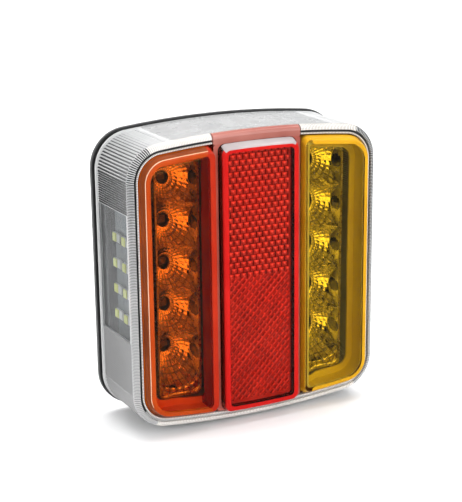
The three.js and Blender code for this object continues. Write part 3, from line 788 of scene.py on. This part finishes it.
ORANGE_PARTS = [ORANGE, ORANGE_BODY, ORANGE_RIM, ORANGE_PAINTED_SHADE, LENS_EDGE_HIGHLIGHT, ORANGE_WALL_SHADED, ORANGE_INNER_LIT]
AMBER_PARTS = [AMBER, AMBER_BODY, AMBER_RIM, AMBER_RIM, AMBER_RIM, AMBER_RIM, AMBER_INNER_LIT]
RED_PARTS = [RED, RED_HEAD_REFLECTION, TAB_RED, RED_RIM, RED_FLANGE]
piece("orange_lens", [side_lens(-1)], ORANGE_PARTS)
piece("amber_lens", [side_lens(1)], AMBER_PARTS)
piece("red_lens", [red_lens(), numbered(red_tab(), RED_TAB)], RED_PARTS)


# ---- reflex prisms ----
PRISM_CELL = (2.5, 2.0)
PRISM_HEIGHT = 0.5
HATCH_PITCH = 1.8
ZONE_Y = 0.4
# places of the finishes in PRISM_PARTS
PRISM_PLAIN, ON_PRISM_HIGHLIGHT, ON_PRISM_SHADE = range(3)


def prism_cell(x, y):
    """Where a point lies in its upper-zone prism, from -0.5 to 0.5 each way."""
    wide, high = PRISM_CELL
    row = np.floor(y / high)
    u = (x / wide + 0.5 * (row % 2)) % 1.0 - 0.5
    v = (y / high) % 1.0 - 0.5
    return u, v


def hatch_cell(x, y):
    """Where a point lies across the lower zone's ridges, in ridges, and along them, in breaks."""
    slant = (x - y) / (math.sqrt(2) * HATCH_PITCH)
    along = (x + y) / (math.sqrt(2) * HATCH_PITCH * 1.25)
    return slant, along


def prism_height(x, y):
    """Staggered four-sided prisms in the upper zone, slanting broken ridges in the lower one."""
    u, v = prism_cell(x, y)
    slant, along = hatch_cell(x, y)
    pyramid = 1 - 2 * np.maximum(np.abs(u), np.abs(v))
    ridge = triangle_wave(slant) * (0.55 + 0.45 * triangle_wave(along))
    return PRISM_HEIGHT * np.where(y > ZONE_Y, pyramid, ridge)


def prism_tone(x, y):
    """The finish at a point: a painted highlight on the prisms' crests, painted shade between them and in
    the hatching.
    """
    u, v = prism_cell(x, y)
    slant, along = hatch_cell(x, y)
    crest = (np.abs(u + 0.25 * v) < 0.14) & (np.abs(v) < 0.34)
    between = (np.abs(v) > 0.42) | (np.abs(u) > 0.42)
    upper = np.where(crest, ON_PRISM_HIGHLIGHT, np.where(between, ON_PRISM_SHADE, PRISM_PLAIN))
    hatch_shade = ((slant % 1.0) < 0.3) & ((along % 1.0) > 0.25)
    return np.where(y > ZONE_Y, upper, np.where(hatch_shade, ON_PRISM_SHADE, PRISM_PLAIN))


def prism_plate():
    (x0, x1), (y0, y1), (z0, z1) = span("reflex_prism_plate")
    steps = {"edge": 24, "corner": 6, "end": 20}
    inset = HEIGHT / 2 - y1
    edge = red_region(x1, inset, 1.2, **steps)
    base = skin([ring(edge, z0), ring(edge, z1 - PRISM_HEIGHT - 0.1)])
    spacing = 0.25
    margin = 0.8
    xs = np.arange(x0 + margin, x1 - margin, spacing)
    ys = np.arange(y0 + margin + 0.6, y1 - margin - 0.6, spacing)
    gx, gy = np.meshgrid(xs, ys)
    gz = z1 - PRISM_HEIGHT + prism_height(gx, gy)
    top = np.column_stack([gx.ravel(), gy.ravel(), gz.ravel()])
    index = np.arange(gx.size).reshape(gx.shape)
    quads = np.stack([index[:-1, :-1], index[:-1, 1:], index[1:, 1:], index[1:, :-1]], 2)
    faces = quads.reshape(-1, 4).tolist()
    border = np.concatenate([index[0, :-1], index[:-1, -1], index[-1, :0:-1], index[:0:-1, 0]])
    low = top[border].copy()
    low[:, 2] = z1 - PRISM_HEIGHT - 0.3
    start = len(top)
    count = len(border)
    for i in range(count):
        j = (i + 1) % count
        faces.append([int(border[j]), int(border[i]), start + i, start + j])
    faces.append([start + i for i in range(count)][::-1])
    middle_x = (gx[:-1, :-1] + gx[1:, 1:]) / 2
    middle_y = (gy[:-1, :-1] + gy[1:, 1:]) / 2
    tones = prism_tone(middle_x, middle_y).ravel().tolist() + [PRISM_PLAIN] * (count + 1)
    return [base, (np.concatenate([top, low]), faces, tones)]


PRISM_PARTS = [PRISM_FACE, PRISM_HIGHLIGHT_PAINT, PRISM_PAINTED_SHADE]
piece("reflex_prism_plate", prism_plate(), PRISM_PARTS, sharp_degrees=12)


# ---- reflectors ----
FAN_COUNT = 26
FACET_RUN = 1.45
FACET_DEPTH = 0.2
CUP_COLUMNS = 156
CUP_ROWS = 37
REFLECTOR_BACK_Z, REFLECTOR_TOP_Z = span("orange_reflector")[2]
# places of the finishes in REFLECTOR_PARTS
ON_FACET, ON_CHROME_SHADE, ON_SEAM_SHADE, ON_FRAME, ON_HOLE_REFLECTION = range(5)


def cup_heights():
    return [CUP_TOP_Y - i * CUP_PITCH for i in range(CUP_COUNT)]


def facet_tone(r, fans, angles):
    """The finish at a point: painted shade on the seams between facets and, below the LED, on every other
    facet; darkest on the seams below the LED.
    """
    run_position = (r - CUP_HOLE_R) / FACET_RUN
    groove = (run_position % 1.0 < 0.2) | (fans % 1.0 < 0.14)
    # below the LED, the seams and every other facet are painted darker as shade
    lower = np.sin(angles + math.radians(12)) < -0.1
    alternate_shaded_facet = (np.floor(run_position) + np.floor(fans)) % 2 == 1
    facet_shading = np.where((alternate_shaded_facet & lower) | groove, ON_CHROME_SHADE, ON_FACET)
    return np.where(groove & lower, ON_SEAM_SHADE, facet_shading)


def cup_sheet(side, index, bounds):
    """One paraboloid cup with fans of pillow facets, cut by its cell, with a hole for the LED."""
    x0, x1, y0, y1 = bounds
    cx, cy = side * CUP_X, cup_heights()[index]
    top = y1 if index == 0 else cy + CUP_PITCH / 2
    bottom = y0 if index == CUP_COUNT - 1 else cy - CUP_PITCH / 2
    angles = np.linspace(0, 2 * math.pi, CUP_COLUMNS, endpoint=False)
    for px in (x0, x1):
        for py in (bottom, top):
            corner = math.atan2(py - cy, px - cx) % (2 * math.pi)
            angles[np.argmin(np.abs(angles - corner))] = corner
    cos, sin = np.cos(angles), np.sin(angles)
    reach_x = np.where(cos > 0, x1 - cx, cx - x0) / np.maximum(np.abs(cos), 1e-6)
    reach_y = np.where(sin > 0, top - cy, cy - bottom) / np.maximum(np.abs(sin), 1e-6)
    reach = np.minimum(reach_x, reach_y)
    fans = angles / (2 * math.pi) * FAN_COUNT
    front, back, tones = [], [], []
    for t in np.linspace(1, 0, CUP_ROWS):
        r = CUP_HOLE_R + (reach - CUP_HOLE_R) * t
        bowl = CUP_FLOOR_Z + r**2 / (4 * CUP_FOCUS)
        bowl = np.minimum(bowl, REFLECTOR_TOP_Z - 0.8)
        pillow = np.abs(np.sin(math.pi * fans)) * np.abs(np.sin(math.pi * (r - CUP_HOLE_R) / FACET_RUN))
        fade = smoothstep(0, 0.6, r - CUP_HOLE_R) * smoothstep(0, 0.4, reach - r)
        points = np.column_stack([cx + r * cos, cy + r * sin])
        front.append(ring(points, bowl + FACET_DEPTH * pillow * fade))
        tones.append(facet_tone(r, fans, angles))
        if t in (0, 1) or len(front) % 6 == 0:
            back.append(ring(points, np.maximum(bowl - CUP_SHEET_T, REFLECTOR_BACK_Z)))
    verts, faces = skin(front + back[::-1], wrap=True)
    numbers = np.concatenate(tones[:-1]).tolist()
    return verts, faces, numbers + [ON_CHROME_SHADE] * (len(faces) - len(numbers))


def painted_hole_reflection(y, z):
    """Whether a point on a side wall lies in the dark patch level with a cup, a painted reflection of the
    cup's LED hole.
    """
    gap = np.min([np.abs(y - height - IMAGE_RISE) for height in cup_heights()], axis=0)
    return (gap / IMAGE_HALF_H)**2 + ((z - IMAGE_Z) / IMAGE_HALF_D)**2 < 1


def reflector(node, side):
    (x0, x1), (y0, y1), _ = span(node)
    wall = REFLECTOR_WALL
    lip_z = REFLECTOR_TOP_Z - 0.3
    rim = [(0, REFLECTOR_BACK_Z), (0, lip_z), (0.15, REFLECTOR_TOP_Z), (wall - 0.15, REFLECTOR_TOP_Z)]
    first_inner = len(rim)
    rim += [(wall, z) for z in np.linspace(lip_z, REFLECTOR_BACK_Z, 25)]
    rings = []
    for inset, z in rim:
        box = (x0 + inset, x1 - inset, y0 + inset, y1 - inset)
        loop = rounded_rect(*box, REFLECTOR_CORNER_R - inset, 10, 160)
        rings.append(ring(loop, z))
    verts, faces = skin(rings, wrap=True)
    numbers = np.full((len(rings), len(loop)), ON_FRAME)
    side_wall = np.abs(loop[:, 0] - (x0 + x1) / 2) > (x1 - x0) / 2 - wall - 0.1
    for i in range(first_inner, len(rings) - 1):
        # dark patches painted as reflections of the LED holes
        numbers[i, side_wall & painted_hole_reflection(loop[:, 1], rim[i][1])] = ON_HOLE_REFLECTION
    frame_solid = (verts, faces, numbers.ravel().tolist())
    inner = (x0 + wall, x1 - wall, y0 + wall, y1 - wall)
    cups = [cup_sheet(side, i, inner) for i in range(CUP_COUNT)]
    return [frame_solid] + cups


REFLECTOR_PARTS = [CHROME, CHROME_PAINTED_SHADE, CHROME_SEAM_SHADE, CHROME_WALL_SHADED, CHROME_HOLE_REFLECTION]
for node, side in (("orange_reflector", -1), ("amber_reflector", 1)):
    piece(node, reflector(node, side), REFLECTOR_PARTS, sharp_degrees=28)


# ---- rear housing, seal and cable inlet ----
def hexagon(across_flats, x=0, y=0):
    return arc(x, y, across_flats / math.sqrt(3), 0, 2 * math.pi, 6)


def straight(points, z0, z1):
    return skin([ring(points, z0), ring(points, z1)])


def rear_housing():
    steps = {"edge": 16, "corner": 24, "end": 24}
    pocket = RIM_INSET + RIM_T
    levels = [
        (0.7, 0), (0.2, 0.2), (0, 0.7), (0, HOUSING_EDGE_Z - 0.25), (0.25, HOUSING_EDGE_Z),
        (RIM_INSET, HOUSING_EDGE_Z), (RIM_INSET, HOUSING_RIM_Z - 0.2), (RIM_INSET + 0.2, HOUSING_RIM_Z),
        (pocket - 0.2, HOUSING_RIM_Z), (pocket, HOUSING_RIM_Z - 0.2), (pocket, PLATE_T),
    ]
    return skin([ring(outline(inset, **steps), z) for inset, z in levels])


def stud_places():
    """Each stud's name and its place across the back."""
    return [(name, sum(span(f"{name}_stud")[0]) / 2) for name in ("left", "right")]


def screw_places():
    """The middle of each board screw, across the back."""
    return [[sum(pair) / 2 for pair in span(f"board_screw_{i + 1}")[:2]] for i in range(4)]


_, (grommet_low, grommet_high), _ = span("cable_grommet")
GROMMET_Y = (grommet_low + grommet_high) / 2
GROMMET_HOLE_R = 5.5
GROMMET_RECESS_R = 8
GROMMET_RECESS_DEPTH = 1.4
housing = piece("rear_housing", [rear_housing()], [HOUSING_BLACK])
bosses = [turned([(7.4, 1), (7.2, 6.8), (7.0, 7)], x) for _, x in stud_places()]
bosses += [turned([(3.1, 1), (3, 7.4), (2.8, 7.6)], x, y, 32) for x, y in screw_places()]
carve(housing, "UNION", bosses)
holes = [turned([(STUD_R + 0.4, -1), (STUD_R + 0.4, 9)], x) for _, x in stud_places()]
holes += [straight(hexagon(HEX_AF + 2 * GAP, x), 2.8, 9) for _, x in stud_places()]
holes += [turned([(1.35, PLATE_T), (1.35, 9)], x, y, 24) for x, y in screw_places()]
holes.append(turned([(GROMMET_HOLE_R, -1), (GROMMET_HOLE_R, 5)], 0, GROMMET_Y, 64))
recess = [(GROMMET_RECESS_R, -1), (GROMMET_RECESS_R, GROMMET_RECESS_DEPTH)]
holes.append(turned(recess, 0, GROMMET_Y, 64))
carve(housing, "DIFFERENCE", holes)


def shell_seal():
    z0, z1 = span("shell_seal")[2]
    steps = {"edge": 16, "corner": 24, "end": 24}
    outer, inner = SHELL_INSET + 0.3, RIM_INSET - GAP
    levels = [(outer, z0 + 0.15), (outer, z1 - 0.15), (outer + 0.15, z1), (inner - 0.15, z1),
              (inner, z1 - 0.15), (inner, z0 + 0.15), (inner - 0.15, z0), (outer + 0.15, z0)]
    return skin([ring(outline(inset, **steps), z) for inset, z in levels], wrap=True)


def cable_grommet():
    inner_z = PLATE_T + GAP
    seat = GROMMET_RECESS_DEPTH - GAP
    neck = GROMMET_HOLE_R - GAP
    return turned([
        (0.4, 1.2), (2.5, 1.2), (3.1, 0.35), (3.4, 0.2), (7.3, 0.2), (7.6, 0.45), (7.6, seat),
        (neck, seat), (neck, inner_z), (6.8, inner_z), (7, inner_z + 0.2), (6.6, inner_z + 1.3),
        (6.3, inner_z + 1.5),
        (3.8, inner_z + 1.5), (3.5, inner_z + 1.3), (3, 2.2), (0.4, 2.2),
    ], 0, GROMMET_Y, 64)


piece("shell_seal", [shell_seal()], [RUBBER])
piece("cable_grommet", [cable_grommet()], [RUBBER])


# ---- studs, washers and nuts ----
def thread(r, z0, z1, x):
    """Rings of a helical thread about x, from z0 to z1."""
    count = 40
    levels = np.linspace(z0, z1, int((z1 - z0) / THREAD_PITCH * 8) + 1)
    turn = np.arange(count) / count
    rings = []
    for z in levels:
        depth = THREAD_DEPTH * (1 - triangle_wave(z / THREAD_PITCH - turn))
        angle = 2 * math.pi * turn
        radius = r - depth
        rings.append(ring(np.column_stack([x + radius * np.cos(angle), radius * np.sin(angle)]), z))
    return rings


def stud(node, x):
    z0, z1 = span(node)[2]
    head_z = z1 - STUD_HEAD_T
    rings = [ring(circle(STUD_R - 0.7, x, 0, 40), z0)]
    rings += thread(STUD_R, z0 + 0.5, head_z - 2.6, x)
    rings += [ring(circle(STUD_R, x, 0, 40), head_z - 2.2), ring(circle(STUD_R, x, 0, 40), head_z)]
    shank = skin(rings)
    head = skin(hex_rings(x, head_z, z1)[0])
    return [shank, head]


def hex_rings(x, z0, z1):
    """Rings of a hexagon with its corners turned off at both ends, and the loop they're made with."""
    angle = 2 * math.pi * np.arange(HEX_POINTS) / HEX_POINTS
    sector = (angle + math.pi / 6) % (math.pi / 3) - math.pi / 6
    flat = HEX_AF / 2 / np.cos(sector)
    face_r = HEX_AF / 2 - 0.1
    drop = (flat - face_r) * math.tan(math.radians(30))

    def loop(radius):
        return np.column_stack([x + radius * np.cos(angle), radius * np.sin(angle)])

    face = np.full(HEX_POINTS, face_r)
    rings = [
        ring(loop(face), z0), ring(loop(flat), z0 + drop),
        ring(loop(flat), z1 - drop), ring(loop(face), z1),
    ]
    return rings, loop


def nut(node, x):
    z0, z1 = span(node)[2]
    rings, loop = hex_rings(x, z0, z1)
    bore = np.full(HEX_POINTS, NUT_BORE_R)
    rings += [ring(loop(bore + 0.25), z1), ring(loop(bore), z1 - 0.25)]
    rings += [ring(loop(bore), z0 + 0.25), ring(loop(bore + 0.25), z0)]
    return skin(rings, wrap=True)


def washer(node, x):
    z0, z1 = span(node)[2]
    radius = (span(node)[0][1] - span(node)[0][0]) / 2
    levels = [
        (radius - 0.12, z0), (radius, z0 + 0.12), (radius, z1 - 0.12), (radius - 0.12, z1),
        (NUT_BORE_R + 0.08, z1), (NUT_BORE_R, z1 - 0.08),
        (NUT_BORE_R, z0 + 0.08), (NUT_BORE_R + 0.08, z0),
    ]
    return skin([ring(circle(r, x, 0, 64), z) for r, z in levels], wrap=True)


def spring_washer(node, x):
    """A flat ring with a slanting split."""
    z0, z1 = span(node)[2]
    inner, outer = NUT_BORE_R, SPRING_WASHER_R
    section = [(inner, z0 + 0.1), (inner + 0.1, z0), (outer - 0.1, z0), (outer, z0 + 0.1),
               (outer, z1 - 0.1), (outer - 0.1, z1), (inner + 0.1, z1), (inner, z1 - 0.1)]
    split = 0.14
    rings = []
    for step in np.linspace(0, 1, 61):
        points = []
        for r, z in section:
            lean = 0.12 * (z - (z0 + z1) / 2)
            angle = split + lean + step * (2 * math.pi - 2 * split)
            points.append((x + r * math.cos(angle), r * math.sin(angle), z))
        rings.append(np.array(points))
    return skin(rings)


for name, x in stud_places():
    piece(f"{name}_stud", stud(f"{name}_stud", x), [STEEL])
    piece(f"{name}_washer", [washer(f"{name}_washer", x)], [STEEL], f"{name}_washers")
    spring = f"{name}_spring_washer"
    piece(spring, [spring_washer(spring, x)], [STEEL], f"{name}_washers")
    piece(f"{name}_nut", [nut(f"{name}_nut", x)], [STEEL], f"{name}_nut")


# ---- LEDs and boards ----
def signal_led(node):
    (x0, x1), (y0, y1), (z0, z1) = span(node)
    x, y = (x0 + x1) / 2, (y0 + y1) / 2
    body = block(x0, x1, y0, y1, z0, z0 + 1.1)
    dome = [(1.25, z0 + 1.0), (1.22, z0 + 1.3), (1.0, z0 + 1.6), (0.65, z0 + 1.8), (0.25, z1)]
    return [body, numbered(turned(dome, x, y, 32), 1)]


def plate_led(node):
    """A flat LED package, seen from the lamp's left: its window is the half nearer the back."""
    (x0, x1), (y0, y1), (z0, z1) = span(node)
    seat = x0 + 0.4
    body = block(seat, x1, y0, y1, z0, z1, 0.1)
    window = block(x0, seat + 0.3, y0 + 0.1, y1 - 0.1, z0 + 0.1, z0 + 2.9, 0.12)
    return [body, numbered(window, 1)]


def plate_board():
    """The upright board with the printed tracks between its LEDs."""
    (x0, x1), (y0, y1), (z0, z1) = span("plate_board")
    solids = [block(x0, x1, y0, y1, z0, z1, 0.08)]
    proud = 0.06
    for number in range(1, PLATE_LED_COUNT + 1):
        _, (low, high), (led_z, _) = span(f"plate_led_{number}")
        y = (low + high) / 2
        z = led_z + 0.6
        across = block(x0 - proud, x0 + 0.1, y - 2.6, y - 2.2, z, z + 4.4, 0.02)
        down = block(x0 - proud, x0 + 0.1, y - 5.4, y - 2.4, z + 4.2, z + 4.6, 0.02)
        solids += [numbered(across, 1), numbered(down, 1)]
    for y in (y1 - 2, y0 + 2):
        solids.append(numbered(block(x0 - proud, x0 + 0.1, y - 0.5, y + 0.5, z1 - 4, z1 - 2.4, 0.02), 2))
    return solids


for side_name in ("orange", "amber"):
    for number in range(1, CUP_COUNT + 1):
        node = f"{side_name}_led_{number}"
        piece(node, signal_led(node), [LED_GREY, DOME])
for number in range(1, PLATE_LED_COUNT + 1):
    node = f"plate_led_{number}"
    piece(node, plate_led(node), [LED_WHITE, PHOSPHOR])
piece("plate_board", plate_board(), [BOARD, CHIP_BLACK, STEEL])

# finishes for the pieces that are shown as their CAD solids
KEPT_FINISHES = {
    "signal_board": BOARD, "board_header": CHIP_BLACK, "diode": CHIP_BLACK,
    "reflex_cover": COVER_WHITE, "resistor": CHIP_BLACK, "board_screw": STEEL,
}
for node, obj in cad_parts.items():
    for stem, material in KEPT_FINISHES.items():
        if node.startswith(stem):
            obj.data.materials.clear()
            obj.data.materials.append(material)


# ---- camera, lights and stage ----
def axes_of_view(azimuth, elevation, roll):
    a, e, r = (math.radians(v) for v in (azimuth, elevation, roll))
    back = Vector((math.sin(a) * math.cos(e), -math.cos(a) * math.cos(e), math.sin(e)))
    right = Vector((math.cos(a), math.sin(a), 0))
    up = back.cross(right)
    turned_right = right * math.cos(r) + up * math.sin(r)
    turned_up = up * math.cos(r) - right * math.sin(r)
    return turned_right, turned_up, back


def add_camera():
    right, up, back = axes_of_view(PHOTO_AZIMUTH, PHOTO_ELEVATION, PHOTO_ROLL)
    target = Vector((0, CAMERA_AIM_Y * MM, 0))
    data = bpy.data.cameras.new("camera")
    data.lens = CAMERA_LENS
    data.sensor_width = 36
    data.shift_x, data.shift_y = CAMERA_SHIFT
    data.clip_start = 0.01
    camera = bpy.data.objects.new("camera", data)
    turn = Matrix((right, up, back)).transposed().to_4x4()
    camera.matrix_world = Matrix.Translation(target + back * CAMERA_DISTANCE) @ turn
    bpy.context.scene.collection.objects.link(camera)
    bpy.context.scene.camera = camera


def softbox(name, place, width, height, watts, aim=(0, -0.02, 0), reflected=True):
    """A rectangular studio light, which the glossy parts mirror only if it is reflected."""
    data = bpy.data.lights.new(name, "AREA")
    data.shape = "RECTANGLE"
    data.size, data.size_y = width, height
    data.energy = watts
    light = bpy.data.objects.new(name, data)
    light.location = place
    light.rotation_euler = (Vector(place) - Vector(aim)).to_track_quat("Z", "Y").to_euler()
    light.visible_glossy = reflected
    bpy.context.scene.collection.objects.link(light)


def add_stage():
    """A white floor that curves up into a backdrop."""
    floor_z = cad_box[0].z - 0.5 * MM
    half_width, back_y, front_y, bend = 2.5, 1.2, -2.2, 0.6
    profile = [(front_y, 0), (back_y - bend, 0)]
    for angle in np.linspace(0, math.pi / 2, 16)[1:]:
        profile.append((back_y - bend + bend * math.sin(angle), bend * (1 - math.cos(angle))))
    profile.append((back_y, 2.2))
    verts = [(x, y, floor_z + z) for y, z in profile for x in (-half_width, half_width)]
    faces = [(2 * i, 2 * i + 1, 2 * i + 3, 2 * i + 2) for i in range(len(profile) - 1)]
    mesh = bpy.data.meshes.new("stage")
    mesh.from_pydata(verts, [], faces)
    mesh.polygons.foreach_set("use_smooth", [True] * len(faces))
    finish = Finish("stage_white", Roughness=0.9)
    finish.use(Base_Color=finish.colours(finish.noise(300, 2), (0.9, 0.9, 0.9), (0.93, 0.93, 0.93)))
    mesh.materials.append(finish.material)
    stage = bpy.data.objects.new("stage", mesh)
    bpy.context.scene.collection.objects.link(stage)


def add_flag(x_span, y_span):
    """A grey studio card on the floor, seen only in the lamp's mirror-like and clear parts."""
    z = cad_box[0].z + 0.5 * MM
    (x0, x1), (y0, y1) = x_span, y_span
    corners = [(x0, y0, z), (x1, y0, z), (x1, y1, z), (x0, y1, z)]
    mesh = bpy.data.meshes.new("flag")
    mesh.from_pydata(corners, [], [(0, 1, 2, 3)])
    finish = Finish("flag_grey", Roughness=1.0, Specular_IOR_Level=0.0)
    finish.use(Base_Color=finish.colours(finish.noise(200, 2), (0.2, 0.2, 0.2), (0.24, 0.24, 0.24)))
    mesh.materials.append(finish.material)
    flag = bpy.data.objects.new("flag", mesh)
    bpy.context.scene.collection.objects.link(flag)
    flag.visible_camera = False
    flag.visible_diffuse = False
    flag.visible_shadow = False


def add_world(above, horizon):
    """A dim studio: dark overhead and lighter towards the horizon."""
    world = bpy.data.worlds.new("studio")
    world.use_nodes = True
    nodes, links = world.node_tree.nodes, world.node_tree.links
    coords = nodes.new("ShaderNodeTexCoord")
    split = nodes.new("ShaderNodeSeparateXYZ")
    ramp = nodes.new("ShaderNodeValToRGB")
    links.new(coords.outputs["Generated"], split.inputs[0])
    links.new(split.outputs["Z"], ramp.inputs["Fac"])
    low, high = ramp.color_ramp.elements
    low.position, low.color = 0.0, (*horizon, 1)
    high.position, high.color = 0.45, (*above, 1)
    links.new(ramp.outputs["Color"], nodes["Background"].inputs["Color"])
    bpy.context.scene.world = world


add_camera()
add_stage()
add_world((0.36, 0.36, 0.365), (0.86, 0.86, 0.87))
softbox("key_softbox", (0.15, 0.15, 0.95), 1.0, 0.8, 9, reflected=False)
softbox("strip_softbox", (0.42, -0.26, 0.8), 0.7, 0.07, 1.2)
softbox("left_softbox", (-1.0, 0.1, 0.5), 0.5, 0.6, 3)
softbox("front_softbox", (0.35, -1.0, 0.42), 1.4, 0.8, 9)
softbox("backdrop_light", (0, 0.1, 1.2), 1.6, 0.5, 9, (0, 0.9, 0.2), reflected=False)
add_flag((-0.3, 1.2), (-1.6, cad_box[0].y - 2 * MM))
bpy.context.scene.view_settings.view_transform = "Standard"
